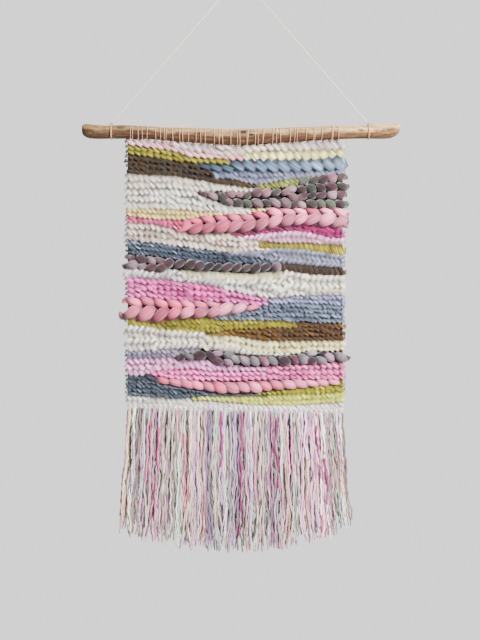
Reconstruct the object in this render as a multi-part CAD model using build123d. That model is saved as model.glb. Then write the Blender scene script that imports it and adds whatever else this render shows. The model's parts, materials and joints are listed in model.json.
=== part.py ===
"""Woven wall hanging on a natural branch, hung by a thin string.

Frame: millimetres, +Z up, the cloth in the XZ plane, seen from -Y. The origin is the centre of the
nail that the string passes over.
"""
from build123d import *
import math
import os

os.makedirs("parts", exist_ok=True)

# ---- driving dimensions (mm) ----
tie_half_span = 160.5        # each string tie, from the middle of the branch
tie_axis_z = -190.0          # centre of the branch at the ties, below the nail
string_radius = 0.6
nail_bend_radius = 3.6       # string centreline over the nail
tie_clearance = 0.3          # string loop round the branch, so that the branch can turn in it
tie_turn_spacing = 1.1       # from one string turn to the next, along the branch
knot_radius = 1.7
warp_radius = 0.55
warp_ends = 67
warp_loops = 37              # warp loops that go over the branch
warp_loop_first_x = -135.0
warp_loop_pitch = 7.25       # average; the loops stand in uneven bunches
warp_loop_bunching = 2.6
warp_loop_arc = 296.0        # degrees of each loop round the branch, open below
cloth_left = -141.0          # left selvedge
cloth_width = 270.0
cloth_datum_z = -200.0       # depths in the cloth are measured down from here
cloth_gap = 2.4              # from the underside of the branch to the cloth
seam_gap = 0.3               # between one weft band and the next
tip_height = 1.2             # a band ends where it has tapered to this
tassel_count = 43
tassel_sections = 5
tassel_thickness = 2.4
tassel_hinge_gap = 1.3
tassel_hinge_drop = 0.5      # hinge below the upper end of its tassels
fringe_knot_radius = 2.1

# Thickness of the cloth (Y) by the way the weft is laid in, and how far its turn stands out of the
# selvedge.
thickness = {"plain": 4.4, "edge": 3.0, "soumak": 7.0, "roving": 12.0}
selvedge_turn = {"plain": 0.8, "edge": 0.8, "soumak": 1.4, "roving": 4.5}

# Branch: distance along X, centre height, radius.
branch_sections = [
    (-197.5, -186.5, 4.6),
    (-194.5, -187.8, 7.6),
    (-185.0, -189.4, 8.8),
    (-166.0, tie_axis_z, 8.5),
    (-155.0, tie_axis_z, 8.5),
    (-130.0, -190.2, 8.1),
    (-100.0, -191.9, 8.2),
    (-75.0, -193.4, 8.8),
    (-50.0, -194.5, 9.5),
    (-10.0, -196.2, 10.0),
    (25.0, -195.4, 9.7),
    (60.0, -193.8, 9.0),
    (95.0, -191.8, 8.8),
    (130.0, -190.3, 8.6),
    (155.0, tie_axis_z, 8.5),
    (166.0, tie_axis_z, 8.5),
    (183.0, -189.0, 9.0),
    (195.0, -186.8, 7.6),
    (199.5, -184.9, 4.4),
]
branch_knot_x = 1.0          # a grown-over knot at the front of the branch
branch_knot_rise = 4.0       # above the middle line
branch_knot_inset = 1.2
branch_knot_size = (6.0, 2.6, 3.0)

# Weft bands, from the top of the cloth down: name, way of weaving, first and last distance from the
# left selvedge, and the lower edge as (distance, depth). Each band is packed against those above it,
# so its upper edge is the lower edge of what is already there.
weft_bands = [
    ("white_top_row", "edge", 55, 270, [(65, 10), (80, 15), (120, 20), (155, 15), (270, 12)]),
    ("yellow_top_band", "edge", 145, 270, [(155, 24), (240, 24), (270, 19)]),
    ("pink_top_band", "edge", 0, 155, [(0, 6), (50, 12), (80, 21), (140, 25)]),
    ("lime_top_band", "soumak", 0, 125, [(0, 18), (20, 20), (65, 27), (115, 30)]),
    ("blue_top_band", "plain", 85, 270, [(95, 36), (110, 39), (200, 40), (270, 38)]),
    ("lilac_top_band", "soumak", 105, 270, [(130, 48), (155, 54), (170, 55), (190, 50), (270, 42)]),
    ("olive_heather_band", "soumak", 0, 165, [(0, 42), (60, 45), (110, 54), (155, 60)]),
    ("lime_small_band", "soumak", 160, 215, [(170, 61), (205, 58)]),
    ("white_upper_band", "soumak", 0, 160, [(0, 60), (55, 60), (85, 63), (150, 65)]),
    ("plum_roving_top", "roving", 85, 270, [(90, 69), (120, 80), (155, 85), (270, 85)]),
    ("white_lower_band", "soumak", 0, 155, [(0, 85), (50, 86), (80, 88), (140, 91)]),
    ("pale_lime_band", "plain", 0, 180, [(0, 94), (30, 98), (65, 100), (90, 96), (170, 89)]),
    ("rose_line", "plain", 0, 70, [(0, 104), (30, 104), (60, 112)]),
    ("pink_roving_top", "roving", 60, 270,
     [(70, 115), (85, 119), (155, 115), (220, 106), (250, 108), (270, 113)]),
    ("magenta_band", "plain", 130, 270, [(150, 120), (210, 113), (255, 123)]),
    ("lilac_pink_band", "soumak", 145, 270, [(155, 125), (185, 128), (220, 128), (270, 131)]),
    ("olive_lime_band", "soumak", 165, 270, [(180, 135), (210, 136), (270, 144)]),
    ("cream_upper_band", "soumak", 0, 180, [(0, 124), (50, 130), (85, 135), (130, 140), (160, 138)]),
    ("lilac_grey_band", "soumak", 125, 270, [(140, 145), (165, 147), (190, 153), (270, 160)]),
    ("navy_mid_band", "plain", 0, 195, [(0, 142), (60, 148), (90, 152), (180, 155)]),
    ("plum_roving_mid", "roving", 0, 190, [(0, 160), (35, 166), (55, 163), (155, 168), (180, 165)]),
    ("brown_rib_band", "plain", 185, 270, [(200, 164), (230, 169), (270, 170)]),
    ("pale_lime_row", "soumak", 65, 195, [(85, 172), (140, 176), (170, 174)]),
    ("cream_braid_band", "soumak", 165, 270, [(175, 181), (190, 190), (210, 194), (270, 193)]),
    ("white_mint_band", "soumak", 0, 205, [(0, 171), (60, 175), (110, 183), (160, 195), (185, 197)]),
    ("rose_pink_band", "soumak", 0, 175, [(0, 197), (20, 195), (50, 200), (120, 202), (150, 206)]),
    ("pink_roving_mid", "roving", 0, 165, [(0, 222), (35, 229), (55, 225), (110, 222), (155, 213)]),
    ("lilac_blue_band", "plain", 165, 270, [(175, 204), (205, 203), (270, 206)]),
    ("denim_band", "plain", 105, 270, [(120, 225), (155, 225), (270, 229)]),
    ("chartreuse_band", "soumak", 0, 210, [(0, 231), (60, 239), (110, 241), (125, 236), (190, 234)]),
    ("bronze_band", "soumak", 100, 270, [(120, 244), (150, 247), (170, 251), (270, 251)]),
    ("cream_yellow_band", "soumak", 100, 270, [(115, 254), (135, 258), (155, 265), (210, 267), (225, 263)]),
    ("ivory_heather_band", "soumak", 0, 205, [(0, 263), (90, 260), (120, 264), (150, 268), (185, 270)]),
    ("blue_grey_line", "plain", 0, 90, [(0, 273), (55, 271), (70, 266)]),
    ("plum_roving_low", "roving", 60, 270,
     [(70, 275), (100, 275), (110, 280), (160, 284), (220, 280), (270, 278)]),
    ("lilac_pink_low", "soumak", 0, 175, [(0, 293), (20, 294), (35, 287), (80, 285), (110, 289), (160, 288)]),
    ("hot_pink_low", "soumak", 25, 270, [(40, 295), (55, 299), (120, 301), (180, 299), (270, 300)]),
    ("salmon_roving_low", "roving", 40, 265,
     [(50, 305), (70, 309), (110, 316), (150, 318), (205, 310), (250, 306)]),
    ("olive_line_low", "plain", 155, 270, [(170, 318), (230, 317), (270, 314)]),
    ("teal_low_band", "plain", 0, 175, [(0, 319), (65, 323), (90, 320)]),
    ("lime_low_band", "soumak", 80, 270, [(100, 325), (155, 330), (205, 331), (270, 327)]),
    ("header_row", "plain", 0, 270, [(0, 329), (65, 331), (140, 334), (270, 337)]),
]

# Fringe: it hangs lowest just left of the middle and fans out a little to both sides.
fringe_lowest_depth = 516.0
fringe_rise = 30.0
fringe_middle = 135.0
fringe_half_width = 145.0
fringe_fan = 0.07            # sideways drift at the lower end, per mm from the middle
tassel_wave = 1.1            # sideways wave of a tassel, at its lower end
tassel_widths = [(0.0, 2.6), (0.12, 4.8), (0.55, 5.2), (0.85, 4.6), (1.0, 3.0)]
tassel_steps = 10


def save(name, shape):
    """Write one sub-part and report its volume."""
    export_step(shape, f"parts/{name}.step")
    print(f"{name}: {shape.volume / 1000:.2f} cm3")


def level(points, x):
    """Height of a broken line at x, level beyond its ends."""
    if x <= points[0][0]:
        return points[0][1]
    for (x0, y0), (x1, y1) in zip(points, points[1:]):
        if x <= x1:
            return y0 + (y1 - y0) * (x - x0) / (x1 - x0)
    return points[-1][1]


def branch_at(x):
    """Centre height and radius of the branch at x."""
    centre = level([(s[0], s[1]) for s in branch_sections], x)
    radius = level([(s[0], s[2]) for s in branch_sections], x)
    return centre, radius


def make_branch():
    """A slightly bowed stick, lofted through round sections, with a grown-over knot at the front."""
    rings = [Plane(origin=(x, 0, z), z_dir=(1, 0, 0)) * Circle(r) for x, z, r in branch_sections]
    stick = loft(rings)
    centre, radius = branch_at(branch_knot_x)
    knot_place = Pos(branch_knot_x, branch_knot_inset - radius, centre + branch_knot_rise)
    knot = knot_place * scale(Sphere(1.0), branch_knot_size)
    return stick + knot


def warp_loop_x(i):
    """X of the warp loop with number i."""
    bunching = warp_loop_bunching * math.sin(1.9 * i) + 0.5 * warp_loop_bunching * math.sin(4.3 * i)
    return warp_loop_first_x + warp_loop_pitch * i + bunching


def make_warp_loops():
    """Separate warp loops, each open below, where it goes down into the cloth."""
    loops = []
    for x in [warp_loop_x(i) for i in range(warp_loops)]:
        centre, radius = branch_at(x)
        axis = Axis((x, 0, centre), (1, 0, 0))
        ring_radius = radius + warp_radius
        thread = Plane(origin=(x, 0, centre + ring_radius), z_dir=(0, 1, 0)) * Circle(warp_radius)
        thread = thread.rotate(axis, -warp_loop_arc / 2)
        loops.append(revolve(thread, axis=axis, revolution_arc=warp_loop_arc))
    return Compound(children=loops)


def make_hanging_cord():
    """The string, from one tie over the nail to the other."""
    crest = 0.5 * nail_bend_radius
    knot_z = tie_axis_z + tie_ring_radius() + knot_radius / 2
    route = [
        (-tie_half_span, 0, knot_z),
        (-crest, 0, nail_bend_radius),
        (crest, 0, nail_bend_radius),
        (tie_half_span, 0, knot_z),
    ]
    slope = math.atan2(nail_bend_radius - knot_z, tie_half_span - crest)
    bend = 0.45 * 2 * crest / math.tan(slope / 2)
    path = FilletPolyline(*route, radius=bend)
    start = Plane(origin=path @ 0, z_dir=path % 0)
    cord = sweep(start * Circle(string_radius), path=path)
    print(f"string: bend radius {bend:.2f}, length {path.length:.1f}, "
          f"volume over section times length {cord.volume / (math.pi * string_radius**2 * path.length):.4f}")
    return cord


def tie_ring_radius():
    """Centreline radius of the string loops round the branch."""
    return branch_at(tie_half_span)[1] + tie_clearance + string_radius


def make_tie(side):
    """Two turns of string round the branch and the knot that closes them."""
    centre_x = side * tie_half_span
    turn = Torus(tie_ring_radius(), string_radius)
    half = tie_turn_spacing / 2
    turns = Part() + [Pos(centre_x + s * half, 0, tie_axis_z) * Rot(Y=90) * turn for s in (-1, 1)]
    knot = Pos(centre_x, 0, tie_axis_z + tie_ring_radius() + knot_radius / 2) * Sphere(knot_radius)
    return turns + knot


def cloth_point(distance, depth):
    """A place in the cloth as (X, Z)."""
    return (cloth_left + distance, cloth_datum_z - depth)


def plate(outline, depth):
    """A closed outline in the XZ plane, thickened evenly to both sides of it."""
    face = make_face(Polyline(*outline, close=True))
    return extrude(Plane.XZ * face, amount=depth / 2, both=True)


def cloth_top(distance):
    """Depth of the cloth's top edge, which follows the underside of the branch."""
    centre, radius = branch_at(cloth_left + distance)
    return cloth_datum_z - (centre - radius) + cloth_gap


def make_weft_bands():
    """Every band of weft, each packed against the ones above; returns them and the lowest edge."""
    pitch = cloth_width / warp_ends
    stations = [i * pitch for i in range(warp_ends + 1)]
    fell = [cloth_top(x) for x in stations]
    bands = {}
    for name, weave, first, last, lower in weft_bands:
        span = []
        for i, x in enumerate(stations):
            inside = first <= x <= last + 0.01
            if inside and level(lower, x) - fell[i] >= tip_height:
                span.append(i)
        span = range(span[0], span[-1] + 1)
        upper_edge = []
        lower_edge = []
        for i in span:
            bottom = max(level(lower, stations[i]), fell[i] + tip_height)
            upper_edge.append((stations[i], fell[i] + seam_gap / 2))
            lower_edge.append((stations[i], bottom - seam_gap / 2))
            fell[i] = bottom
        outline = upper_edge
        if span[-1] == warp_ends:
            middle = (upper_edge[-1][1] + lower_edge[-1][1]) / 2
            outline = outline + [(cloth_width + selvedge_turn[weave], middle)]
        outline = outline + lower_edge[::-1]
        if span[0] == 0:
            middle = (upper_edge[0][1] + lower_edge[0][1]) / 2
            outline = outline + [(-selvedge_turn[weave], middle)]
        bands[name] = plate([cloth_point(*p) for p in outline], thickness[weave])
    return bands, list(zip(stations, fell))


def make_warp_threads(lowest_edge):
    """The warp inside the cloth, from its top edge down into the fringe knots."""
    pitch = cloth_width / warp_ends
    threads = []
    for i in range(warp_ends):
        distance = (i + 0.5) * pitch
        x, top = cloth_point(distance, cloth_top(distance) + seam_gap)
        bottom = cloth_point(distance, level(lowest_edge, distance) - seam_gap)[1]
        threads.append(Pos(x, 0, (top + bottom) / 2) * Cylinder(warp_radius, top - bottom))
    return Compound(children=threads)


def tassel_places():
    """Distance of each tassel from the left selvedge."""
    pitch = cloth_width / tassel_count
    return [(i + 0.5) * pitch for i in range(tassel_count)]


def make_fringe_knots(lowest_edge):
    """One knot under the header for each tassel."""
    knots = []
    for distance in tassel_places():
        x, z = cloth_point(distance, level(lowest_edge, distance) + fringe_knot_radius)
        knots.append(Pos(x, 0, z) * Sphere(fringe_knot_radius))
    return Compound(children=knots)


def tassel_outline(distance, top_depth):
    """One tassel: narrow at its knot, full lower down, with a blunt wavy end."""
    from_middle = distance - fringe_middle
    end_depth = fringe_lowest_depth - fringe_rise * (from_middle / fringe_half_width) ** 2
    length = end_depth - top_depth
    left = []
    right = []
    for step in range(tassel_steps + 1):
        t = step / tassel_steps
        wave = tassel_wave * math.sin(2 * math.pi * (t + distance / cloth_width)) * t
        middle = distance + fringe_fan * from_middle * t + wave
        half = level(tassel_widths, t) / 2
        left.append(cloth_point(middle - half, top_depth + length * t))
        right.append(cloth_point(middle + half, top_depth + length * t))
    return left + right[::-1]


def make_fringe(lowest_edge):
    """The tassels in groups that swing side by side; returns each group and its hinge height."""
    places = tassel_places()
    size = math.ceil(tassel_count / tassel_sections)
    groups = []
    for k in range(tassel_sections):
        group = places[k * size:(k + 1) * size]
        knot_bottom = max(level(lowest_edge, d) for d in group) + 2 * fringe_knot_radius
        top_depth = knot_bottom + tassel_hinge_gap
        tassels = [plate(tassel_outline(d, top_depth), tassel_thickness) for d in group]
        groups.append(Compound(children=tassels))
        print(f"fringe_{k + 1}: hinge at Z {cloth_datum_z - top_depth - tassel_hinge_drop:.1f}, from X "
              f"{cloth_left + group[0]:.1f} to {cloth_left + group[-1]:.1f}")
    return groups


save("branch", make_branch())
save("warp_loops", make_warp_loops())
save("hanging_cord", make_hanging_cord())
save("left_tie", make_tie(-1))
save("right_tie", make_tie(1))
bands, lowest_edge = make_weft_bands()
for band_name, band in bands.items():
    save(band_name, band)
save("warp_threads", make_warp_threads(lowest_edge))
save("fringe_knots", make_fringe_knots(lowest_edge))
for number, group in enumerate(make_fringe(lowest_edge), start=1):
    save(f"fringe_{number}", group)
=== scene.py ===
"""Looks of the woven wall hanging: yarn by yarn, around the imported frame. Metres, Z up, front at -Y."""

import json
import math
from collections import namedtuple

import bpy
import numpy as np
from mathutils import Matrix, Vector
from mathutils.bvhtree import BVHTree

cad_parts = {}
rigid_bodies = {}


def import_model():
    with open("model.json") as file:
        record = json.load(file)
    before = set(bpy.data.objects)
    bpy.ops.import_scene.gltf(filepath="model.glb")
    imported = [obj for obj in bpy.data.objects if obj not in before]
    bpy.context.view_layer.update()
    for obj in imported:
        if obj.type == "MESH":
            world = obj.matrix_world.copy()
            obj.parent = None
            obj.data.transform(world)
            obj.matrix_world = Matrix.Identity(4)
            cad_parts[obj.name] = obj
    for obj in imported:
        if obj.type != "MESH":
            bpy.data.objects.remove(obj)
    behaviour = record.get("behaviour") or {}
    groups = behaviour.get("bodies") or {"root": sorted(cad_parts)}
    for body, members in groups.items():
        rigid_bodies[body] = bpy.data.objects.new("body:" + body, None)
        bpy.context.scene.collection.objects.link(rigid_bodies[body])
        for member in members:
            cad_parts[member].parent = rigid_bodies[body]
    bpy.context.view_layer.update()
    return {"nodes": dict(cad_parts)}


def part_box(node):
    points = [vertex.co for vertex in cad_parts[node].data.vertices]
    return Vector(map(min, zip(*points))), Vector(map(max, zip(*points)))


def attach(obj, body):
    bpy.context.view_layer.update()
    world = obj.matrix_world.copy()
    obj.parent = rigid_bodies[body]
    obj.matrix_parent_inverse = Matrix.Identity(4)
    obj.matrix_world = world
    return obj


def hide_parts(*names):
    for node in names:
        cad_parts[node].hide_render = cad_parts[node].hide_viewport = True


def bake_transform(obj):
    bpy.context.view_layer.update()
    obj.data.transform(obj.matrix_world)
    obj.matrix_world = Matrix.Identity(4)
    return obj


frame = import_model()

MM = 0.001
rng = np.random.default_rng(41)

# ---- camera ----
VIEW_HEIGHT = 0.8            # height of the view at the cloth
VIEW_CENTRE_Z = -0.425
LENS = 70.0
SENSOR = 36.0

# ---- light ----
ROOM_LIGHT = 0.50            # soft light from all round
BACKDROP_LIGHT = 1.45        # the pale surroundings as they are seen
LIGHT_TARGET = (0, 0, -0.42)
# Area lights: name, place, side, power (W).
LIGHTS = (("key", (1.05, -1.0, 0.45), 0.5, 165.0), ("back_fill", (-0.8, 1.2, 0.4), 0.8, 99.0))
FLOOR_Z = -1.2
FLOOR_HALF = 1.35

# ---- colour ----
FULLNESS = 1.25              # colour strength of the yarns
DEPTH = 1.60                 # how much darker the deep tones are than the pale ones
BRIGHTNESS = 1.15            # paleness of all the yarns together
PAINTED_SIDE_SHADE = 0.30               # painted shade: how dark a strand's sides are, next to its neighbours
PAINTED_FRONT_LIGHT = 1.06         # painted light: how light its front is
DIVE_FROM = 0.22             # painted shade: how far round a stitch is darkest, and over what share it turns light
DIVE_RANGE = 0.70
DIVE_FRONT = 1.22            # painted light: how light the front of a stitch is

# ---- string: the route of part.py, and a point near the nail on each long straight run ----
STRING_DIAMETER = 1.2 * MM
STRING_TONE = (198, 184, 160)
TIE_X = 0.1605               # how far out the string is tied
TIE_TONE = (200, 172, 142)
STRING_ROUTE = [
    (-TIE_X, 0, -0.17975),
    (-0.0065, 0, -0.0018),
    (-0.0018, 0, 0.0036),
    (0.0018, 0, 0.0036),
    (0.0065, 0, -0.0018),
    (TIE_X, 0, -0.17975),
]

# ---- cloth ----
CLOTH_LEFT = -0.141
CLOTH_WIDTH = 0.270
EDGE_STEP = 1.5 * MM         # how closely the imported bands' edges are read
GROUND_CELL = 1.35 * MM      # the sheet behind the stitches
GROUND_ROWS = 250
GROUND_INSET = 0.8 * MM
# The sheet's painted shade where no band lies.
GROUND_PAINTED_SHADE_TONE = (96, 88, 82)
GROUND_SHADE = 0.30          # painted shade: the sheet takes this share of the band's own colour
STITCH_SIDES = 6             # corners round a strand
STITCH_POINTS = 18           # points along one stitch
OUTER_SHADE = 0.66           # the yarn's upper strand, in the shadow of the stitch above
LOWER_SHADE = 0.58           # its lower strand
SELVEDGE = 3.0 * MM          # at the cloth's edges the yarn turns round and its painted dive shade is lifted, so it stays light
# Kinds of stitch: height of a row and length of a stitch (mm), how far it leans along the row (mm) and up
# it (share of the row), strands of the yarn and their greatest radius (mm), how far the yarn stands out
# (mm), how uneven it is, and how dark its painted shade is where it dives into the cloth.
Stitch = namedtuple("Stitch", "row pitch reach steep strands radius depth loose dark", defaults=(0.10,))
SOUMAK = Stitch(7.4, 6.8, 2.4, 0.50, 4, 0.55, 2.5, 1.5)
FINE_SOUMAK = Stitch(6.0, 6.0, 2.3, 0.48, 3, 0.55, 2.1, 1.1)
LONG_SOUMAK = Stitch(9.0, 9.0, 4.0, 0.42, 4, 0.62, 2.0, 1.2)
BIG_SOUMAK = Stitch(15.0, 14.0, 5.0, 0.36, 6, 0.75, 2.9, 0.7)
CHUNKY = Stitch(6.6, 7.6, 2.9, 0.36, 3, 0.95, 2.4, 1.1)
HEATHER = Stitch(6.4, 6.6, 2.8, 0.36, 3, 0.68, 2.4, 1.6)
CURL = Stitch(5.4, 5.6, 2.4, 0.38, 3, 0.6, 2.3, 2.2)
RIB = Stitch(9.0, 6.2, 0.8, 0.42, 3, 1.0, 2.2, 0.7)
WIDE_RIB = Stitch(11.0, 10.5, 0.7, 0.42, 5, 1.1, 1.6, 0.5, 0.5)

ROVING_SIDES = 36
ROVING_POINTS = 26
ROVING_GROOVES = 12
# painted shade of a roving where it dives into the cloth
ROVING_PAINTED_SHADE = 0.22
# Kinds of roving: row, pitch, reach, steep, radius and depth as above, how far a stitch strays (mm), how
# thick its ends are (share), how blunt they are (less is blunter), how uneven its thickness is, where two
# rows part (share of their height), and whether its colour changes from stitch to stitch.
Roving = namedtuple("Roving", "row pitch reach steep radius depth stray neck blunt uneven split patchy")
BRAID = Roving(12.5, 16.0, 4.4, 0.30, 6.4, 2.2, 1.4, 0.52, 0.7, 0.16, 0.38, False)
PUFFS = Roving(12.0, 14.0, 4.4, 0.20, 5.4, 2.2, 1.4, 0.52, 0.7, 0.16, 0.38, False)
KNOBS = Roving(10.5, 11.5, 2.2, 0.18, 5.3, 2.2, 2.6, 0.24, 0.40, 0.26, 0.50, True)

# Each band: its stitch, the way it slants (0: its rows slant in turn), its tones from left to right, and
# the colours flecked into it.
BANDS = {
    "white_top_row": (LONG_SOUMAK, 1, [(230, 212, 218), (232, 226, 214), (226, 218, 218)],
                      [(196, 174, 184), (240, 236, 224)]),
    "yellow_top_band": (WIDE_RIB, 1, [(240, 234, 192), (242, 236, 190)],
                        [(214, 196, 140), (238, 216, 198)]),
    "pink_top_band": (LONG_SOUMAK, 1, [(228, 194, 206), (230, 202, 198), (226, 180, 184)],
                      [(200, 142, 170)]),
    "lime_top_band": (CHUNKY, 1, [(160, 154, 20), (168, 162, 24)], [(104, 96, 14), (202, 202, 90)]),
    "blue_top_band": (BIG_SOUMAK, 1, [(78, 94, 110), (140, 154, 168), (160, 172, 184)],
                      [(54, 72, 92), (200, 208, 214)]),
    "lilac_top_band": (FINE_SOUMAK, 1, [(166, 168, 186), (176, 178, 192)],
                       [(104, 106, 136), (208, 210, 218)]),
    "olive_heather_band": (HEATHER, 1, [(98, 80, 28), (86, 68, 30), (104, 84, 28)],
                           [(52, 44, 30), (116, 82, 96), (96, 104, 108), (136, 122, 54)]),
    "lime_small_band": (FINE_SOUMAK, 1, [(176, 178, 118), (178, 182, 134)], [(130, 130, 60)]),
    "white_upper_band": (SOUMAK, 1, [(224, 218, 208), (226, 222, 212)],
                         [(160, 154, 156), (246, 242, 234)]),
    "plum_roving_top": (KNOBS, 1, [(124, 98, 106), (82, 50, 58), (76, 68, 62), (92, 66, 74)],
                        [(58, 30, 40), (90, 98, 84), (140, 122, 128)]),
    "white_lower_band": (SOUMAK, 1, [(230, 226, 220), (232, 230, 224)],
                         [(170, 164, 172), (246, 244, 238)]),
    "pale_lime_band": (FINE_SOUMAK, 1, [(234, 222, 176), (236, 222, 172), (238, 220, 184)],
                       [(196, 200, 132), (240, 222, 200)]),
    "rose_line": (FINE_SOUMAK, 1, [(220, 144, 174), (208, 120, 156)],
                  [(176, 60, 110), (240, 190, 210)]),
    "pink_roving_top": (BRAID, -1, [(184, 102, 126), (192, 124, 144), (198, 138, 156), (206, 154, 170)],
                        [(176, 92, 118)]),
    "magenta_band": (CURL, 1, [(158, 36, 116), (172, 50, 132)], [(112, 14, 72), (214, 104, 166)]),
    "lilac_pink_band": (FINE_SOUMAK, 0, [(240, 200, 220), (238, 202, 222)],
                        [(176, 136, 172), (246, 226, 238)]),
    "olive_lime_band": (RIB, 1, [(168, 160, 10), (178, 168, 16)], [(104, 94, 6), (212, 202, 80)]),
    "cream_upper_band": (SOUMAK, 1, [(222, 210, 202), (224, 212, 202)],
                         [(160, 146, 142), (244, 234, 224)]),
    "lilac_grey_band": (FINE_SOUMAK, 0, [(166, 166, 182), (176, 178, 190)],
                        [(92, 94, 116), (216, 216, 222)]),
    "navy_mid_band": (CURL, 1, [(118, 126, 138), (106, 114, 128), (84, 90, 106)],
                      [(172, 184, 198), (44, 54, 74)]),
    "plum_roving_mid": (KNOBS, -1, [(82, 52, 60), (64, 36, 44), (88, 74, 76), (76, 54, 62)],
                        [(150, 134, 140), (46, 22, 32)]),
    "brown_rib_band": (RIB, 1, [(92, 72, 18), (80, 60, 14)], [(44, 32, 8), (136, 110, 44)]),
    "pale_lime_row": (FINE_SOUMAK, 1, [(242, 238, 214), (242, 238, 208)],
                      [(196, 196, 156), (242, 240, 228)]),
    "cream_braid_band": (SOUMAK, 0, [(246, 242, 230), (248, 242, 232)],
                         [(200, 190, 164), (246, 244, 236)]),
    "white_mint_band": (SOUMAK, 0, [(230, 226, 226), (232, 228, 226), (232, 226, 218)],
                        [(164, 172, 168), (248, 246, 242)]),
    "rose_pink_band": (CHUNKY, 1, [(238, 158, 204), (228, 138, 192), (230, 156, 200)],
                       [(190, 66, 128), (244, 204, 222)]),
    "pink_roving_mid": (BRAID, -1, [(196, 134, 152), (188, 112, 134), (196, 134, 154), (190, 114, 140)],
                        [(172, 84, 108), (214, 172, 184)]),
    "lilac_blue_band": (CURL, 1, [(184, 184, 204), (178, 178, 200)],
                        [(120, 122, 150), (214, 214, 224)]),
    "denim_band": (CURL, 1, [(152, 158, 168), (140, 148, 162), (148, 156, 168)],
                   [(70, 86, 110), (204, 208, 214)]),
    "chartreuse_band": (FINE_SOUMAK, 1, [(168, 164, 62), (176, 170, 70)],
                        [(120, 106, 20), (210, 202, 124)]),
    "bronze_band": (HEATHER, 1, [(160, 134, 68), (120, 94, 38), (112, 86, 30)],
                    [(70, 48, 12), (180, 150, 76)]),
    "cream_yellow_band": (SOUMAK, 1, [(240, 234, 204), (242, 234, 198)],
                          [(206, 192, 140), (244, 240, 226)]),
    "ivory_heather_band": (SOUMAK, 0, [(232, 226, 218), (236, 230, 220)],
                           [(162, 154, 162), (246, 242, 234)]),
    "blue_grey_line": (FINE_SOUMAK, 1, [(166, 164, 178), (178, 170, 182)],
                       [(108, 114, 136), (212, 212, 220)]),
    "plum_roving_low": (KNOBS, 1, [(118, 88, 100), (88, 58, 70), (114, 110, 112), (144, 124, 138)],
                        [(60, 34, 44), (166, 158, 164)]),
    "lilac_pink_low": (SOUMAK, 1, [(238, 194, 222), (236, 186, 216)],
                       [(186, 130, 172), (244, 220, 234)]),
    "hot_pink_low": (CHUNKY, 1, [(242, 158, 202), (244, 164, 204)], [(194, 78, 134), (244, 204, 222)]),
    "salmon_roving_low": (PUFFS, 1, [(190, 122, 140), (196, 140, 156), (196, 138, 160)],
                          [(178, 90, 114), (220, 178, 192)]),
    "olive_line_low": (FINE_SOUMAK, 1, [(180, 176, 56), (186, 182, 62)],
                       [(138, 120, 24), (212, 202, 116)]),
    "teal_low_band": (CURL, 1, [(112, 120, 130), (106, 114, 124)], [(44, 58, 76), (156, 170, 182)]),
    "lime_low_band": (FINE_SOUMAK, 1, [(222, 224, 154), (222, 224, 148)],
                      [(176, 180, 84), (236, 236, 196)]),
    "header_row": (FINE_SOUMAK, 1, [(240, 236, 230), (240, 234, 228)],
                   [(186, 180, 174), (246, 244, 238)]),
}

# ---- branch ----
AXIS_OFFSET = 4 * MM         # rays for the branch's height are cast this far behind its middle
ALONG = 420                  # points along the branch and round it
AROUND = 96
END_ROUNDING = 8 * MM        # over this length the surface turns smooth towards an end
TIE_HOLLOW = 0.15 * MM       # how far the string presses in
# Wood tones along the stick: painted shade on its underside, painted light on its top.
PAINTED_SHADE_UNDER_TONES = [(112, 96, 80), (120, 100, 84), (126, 104, 88), (148, 128, 106)]
PAINTED_LIGHT_OVER_TONES = [(146, 132, 108), (174, 160, 134), (180, 166, 140), (196, 180, 154)]
KNOT_TONE = (46, 32, 24)
END_TONE = (196, 168, 134)
# Knots: place along X (mm), angle round the stick, size (mm), how pale the core is.
BRANCH_KNOTS = (
    (4, 2.55, 8.6, 0.0), (13, 3.05, 3.6, 0.2), (-79, 3.1, 3.0, 0.3), (-150, 2.50, 5.5, 0.6),
    (70, 3.4, 2.0, 0.5), (150, 3.0, 2.6, 0.5), (-30, 6.0, 3.5, 0.4), (110, 0.3, 4.0, 0.4),
)

# ---- warp loops ----
LOOP_TONE = (210, 184, 166)
LOOP_RADIUS = 0.34 * MM
LOOP_GAP = 0.62 * MM         # from the branch to the middle of the thread
LOOP_TURN = math.radians(152)    # how far round the branch from the top, each way
LOOP_POINTS = 44
DOUBLED = 0.12               # share of the loops with a second thread
SECOND_THREAD = 1.1 * MM

# ---- fringe ----
FRINGE_POINTS = 84
TASSEL_REACH = 3.15          # about half the way to the next tassel (mm)
# Strands of a tassel, in layers: how many, their Y (mm), the darkest and the palest, their radius (mm)
# and their share of the full length. The middle layer, the shade inside, pales downwards.
FRINGE_LAYERS = (
    (5, -2.4, 0.22, 0.94, 1.25, 1.0),
    (5, -0.2, 0.07, 0.20, 1.6, 0.9),
    (4, 2.4, 0.30, 0.80, 1.15, 1.0),
)
SHADE_LAYER = 0.3            # a layer with its palest below this is the middle one
ACCENT_LAYER = (-3.4, 0.85, 1.05, 1.35, 1.0)    # the same, from Y on, for strands of another colour
FRINGE_TONES = [
    (236, 230, 222), (230, 222, 212), (212, 226, 218), (234, 200, 214), (214, 196, 218), (216, 202, 184),
    (236, 214, 220), (226, 184, 204), (200, 192, 192), (238, 234, 228),
]
MAGENTA = (164, 62, 132)
ROSE = (196, 108, 152)
PINK = (208, 146, 182)
SALMON = (206, 138, 152)
LILAC = (190, 178, 206)
TAN = (176, 152, 132)
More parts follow.
